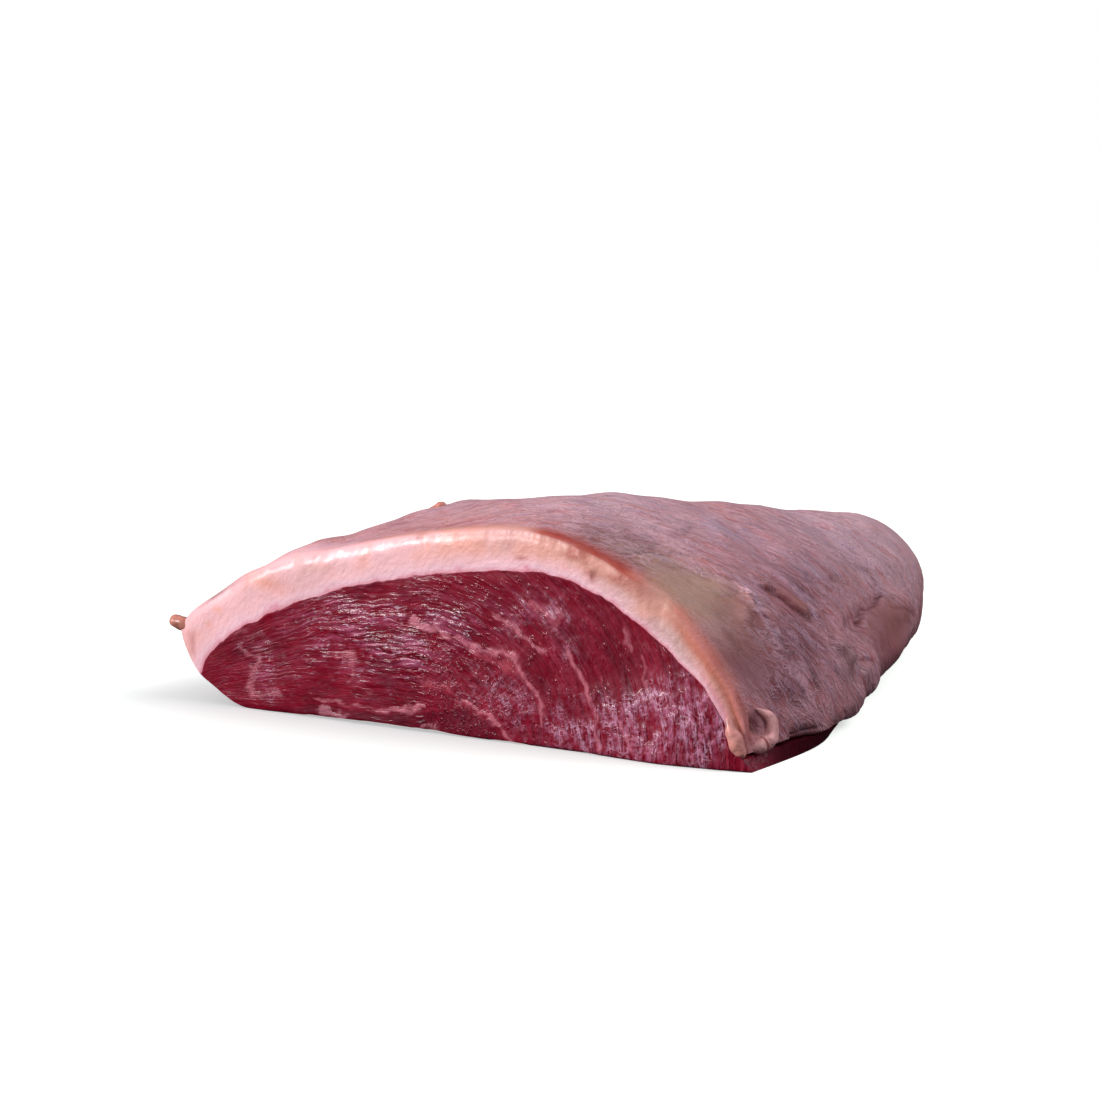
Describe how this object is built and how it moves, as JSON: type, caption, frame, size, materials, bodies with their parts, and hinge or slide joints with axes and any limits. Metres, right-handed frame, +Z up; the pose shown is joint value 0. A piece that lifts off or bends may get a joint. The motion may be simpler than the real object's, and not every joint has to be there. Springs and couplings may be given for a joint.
{
  "type": "raw picanha",
  "caption": "Raw beef rump cap: a tapering dome of lean meat under a thick cap of fat, cut square at its wide end to show both layers, lying on its flat underside.",
  "frame": {"origin": "middle of the flat underside, on the surface that the meat rests on", "axes": "+Z up, +Y from the cut face towards the narrow tip, +X towards the thin right edge as seen from the cut face"},
  "size_m": [0.1878, 0.2095, 0.0594],
  "materials": {
    "lean_beef": "moist",
    "beef_fat": "satin"
  },
  "bodies": {
    "root": {"lean": "lean_beef", "fat_cap": "beef_fat"}
  },
  "joints": []
}
